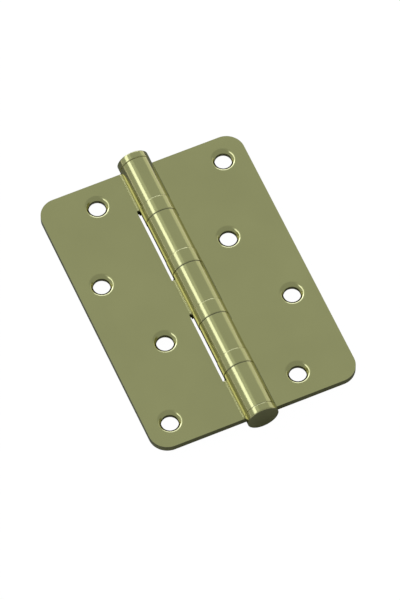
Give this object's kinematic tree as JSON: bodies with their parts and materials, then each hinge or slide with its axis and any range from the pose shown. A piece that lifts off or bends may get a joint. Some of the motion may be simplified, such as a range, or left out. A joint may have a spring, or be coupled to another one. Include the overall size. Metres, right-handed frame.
{
  "type": "butt hinge",
  "caption": "Steel butt hinge with two countersunk leaves, rolled knuckles, a headed pin and ball bearings between the knuckles.",
  "frame": {"origin": "the pin axis at mid-length of the barrel, the middle of the open hinge", "axes": "+Y along the pin towards its head, +X across the door leaf, +Z out of the countersunk faces, hinge open flat"},
  "size_m": [0.072, 0.1054, 0.011],
  "materials": {
    "plated_sheet": "satin brass-tone plating",
    "plated_turned_steel": "satin brass-tone plating, turned",
    "bearing_steel": "polished bearing steel",
    "cage_nylon": "moulded nylon"
  },
  "bodies": {
    "frame": {"frame_leaf": "plated_sheet", "hinge_pin": "plated_turned_steel", "bottom_tip": "plated_turned_steel", "bearing_1_casing": "plated_turned_steel", "bearing_3_casing": "plated_turned_steel", "bearing_2_race": "bearing_steel", "bearing_4_race": "bearing_steel"},
    "door": {"door_leaf": "plated_sheet", "bearing_2_casing": "plated_turned_steel", "bearing_4_casing": "plated_turned_steel", "bearing_1_race": "bearing_steel", "bearing_3_race": "bearing_steel"},
    "ball_ring_1": {"bearing_1_balls": "bearing_steel", "bearing_1_cage": "cage_nylon"},
    "ball_ring_2": {"bearing_2_balls": "bearing_steel", "bearing_2_cage": "cage_nylon"},
    "ball_ring_3": {"bearing_3_balls": "bearing_steel", "bearing_3_cage": "cage_nylon"},
    "ball_ring_4": {"bearing_4_balls": "bearing_steel", "bearing_4_cage": "cage_nylon"}
  },
  "joints": [
    {"name": "leaf_swing", "type": "hinge", "parent": "frame", "child": "door", "pos_m": [0, 0, 0], "axis": [0, -1, 0], "range_deg": [-90, 180]},
    {"name": "ball_ring_1_turn", "type": "hinge", "parent": "frame", "child": "ball_ring_1", "pos_m": [0, 0, 0], "axis": [0, -1, 0], "range_deg": [-45, 90]},
    {"name": "ball_ring_2_turn", "type": "hinge", "parent": "frame", "child": "ball_ring_2", "pos_m": [0, 0, 0], "axis": [0, -1, 0], "range_deg": [-45, 90]},
    {"name": "ball_ring_3_turn", "type": "hinge", "parent": "frame", "child": "ball_ring_3", "pos_m": [0, 0, 0], "axis": [0, -1, 0], "range_deg": [-45, 90]},
    {"name": "ball_ring_4_turn", "type": "hinge", "parent": "frame", "child": "ball_ring_4", "pos_m": [0, 0, 0], "axis": [0, -1, 0], "range_deg": [-45, 90]}
  ],
  "couplings": [
    {"joint": "ball_ring_1_turn", "follows": "leaf_swing", "ratio": 0.5},
    {"joint": "ball_ring_2_turn", "follows": "leaf_swing", "ratio": 0.5},
    {"joint": "ball_ring_3_turn", "follows": "leaf_swing", "ratio": 0.5},
    {"joint": "ball_ring_4_turn", "follows": "leaf_swing", "ratio": 0.5}
  ]
}
